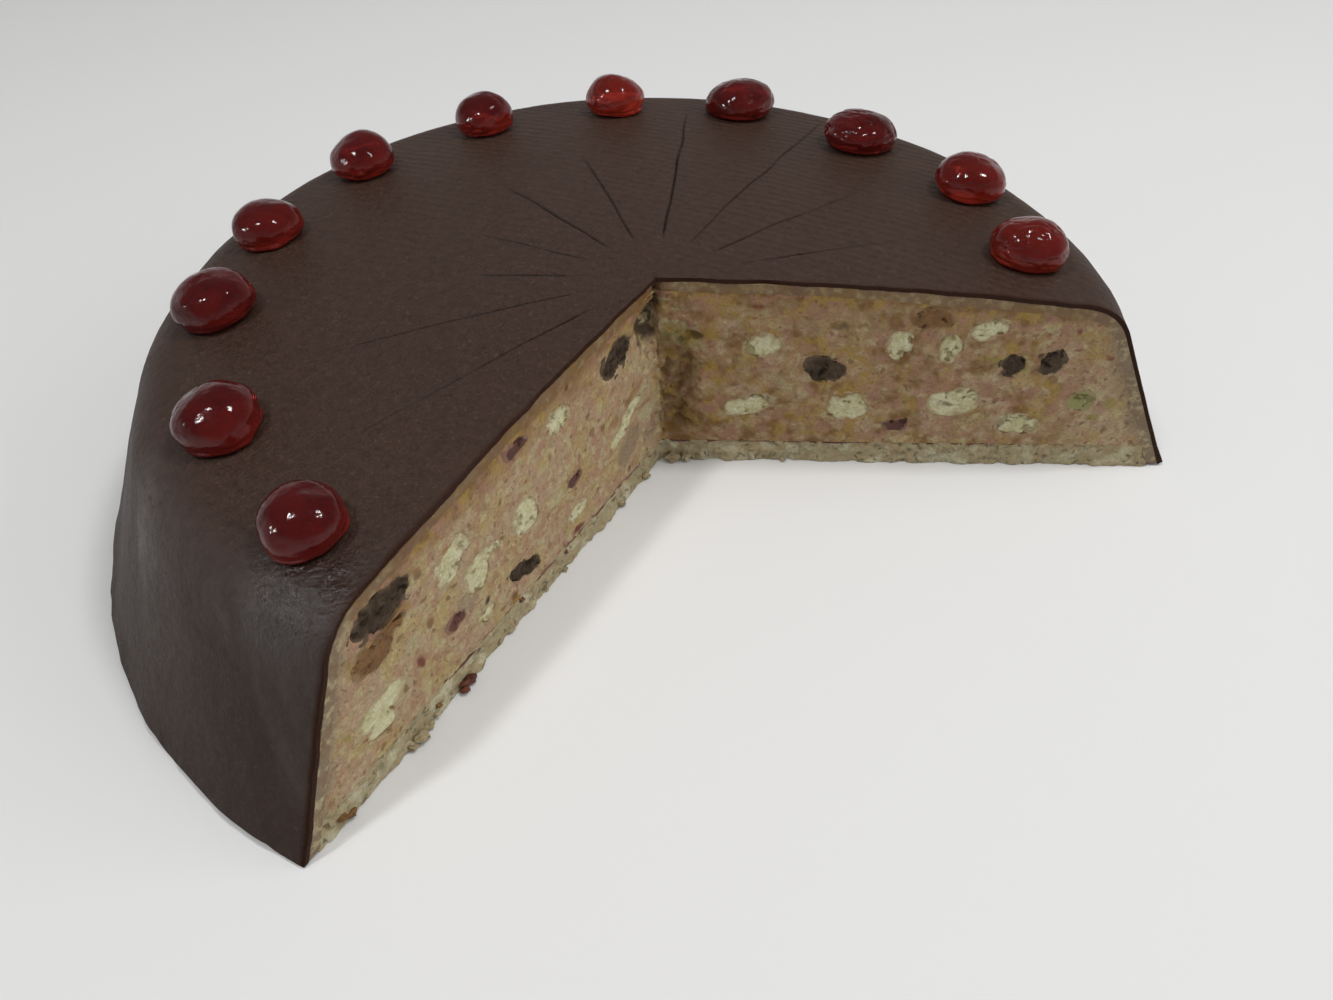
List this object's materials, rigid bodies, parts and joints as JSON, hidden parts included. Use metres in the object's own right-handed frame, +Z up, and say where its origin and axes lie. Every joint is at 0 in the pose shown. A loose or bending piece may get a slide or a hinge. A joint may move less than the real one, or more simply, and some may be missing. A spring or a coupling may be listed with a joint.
{
  "type": "punch cake",
  "caption": "Round chocolate-coated punch cake with a wedge of slices gone, showing filling, jam and sponge base, topped with a ring of glace cherries.",
  "frame": {"origin": "on the table under the middle of the whole cake, on the sponge base's underside", "axes": "+Z up; the notch of missing slices opens towards -Y; +X to the right as seen from the notch's front"},
  "size_m": [0.2797, 0.2206, 0.0628],
  "materials": {
    "chocolate": "satin",
    "marzipan": "matte",
    "filling": "matte",
    "jam": "gloss",
    "sponge": "matte",
    "cherry": "gloss",
    "pale_chunk": "matte",
    "dark_chunk": "matte",
    "soaked_chunk": "matte",
    "green_chunk": "matte",
    "fruit_piece": "gloss"
  },
  "bodies": {
    "root": {"chocolate_coat": "chocolate", "marzipan_layer": "marzipan", "punch_filling": "filling", "jam_layer": "jam", "sponge_base": "sponge", "cherry_01": "cherry", "cherry_02": "cherry", "cherry_03": "cherry", "cherry_04": "cherry", "cherry_05": "cherry", "cherry_06": "cherry", "cherry_07": "cherry", "cherry_08": "cherry", "cherry_09": "cherry", "cherry_10": "cherry", "cherry_11": "cherry", "pale_chunk_01": "pale_chunk", "pale_chunk_02": "pale_chunk", "pale_chunk_03": "pale_chunk", "pale_chunk_04": "pale_chunk", "pale_chunk_05": "pale_chunk", "pale_chunk_06": "pale_chunk", "pale_chunk_07": "pale_chunk", "pale_chunk_08": "pale_chunk", "pale_chunk_09": "pale_chunk", "pale_chunk_10": "pale_chunk", "pale_chunk_11": "pale_chunk", "pale_chunk_12": "pale_chunk", "pale_chunk_13": "pale_chunk", "pale_chunk_14": "pale_chunk", "pale_chunk_15": "pale_chunk", "pale_chunk_16": "pale_chunk", "dark_chunk_01": "dark_chunk", "dark_chunk_02": "dark_chunk", "dark_chunk_03": "dark_chunk", "dark_chunk_04": "dark_chunk", "dark_chunk_05": "dark_chunk", "dark_chunk_06": "dark_chunk", "soaked_chunk_01": "soaked_chunk", "soaked_chunk_02": "soaked_chunk", "green_chunk_01": "green_chunk", "fruit_piece_01": "fruit_piece", "fruit_piece_02": "fruit_piece", "fruit_piece_03": "fruit_piece", "fruit_piece_04": "fruit_piece"}
  },
  "joints": []
}
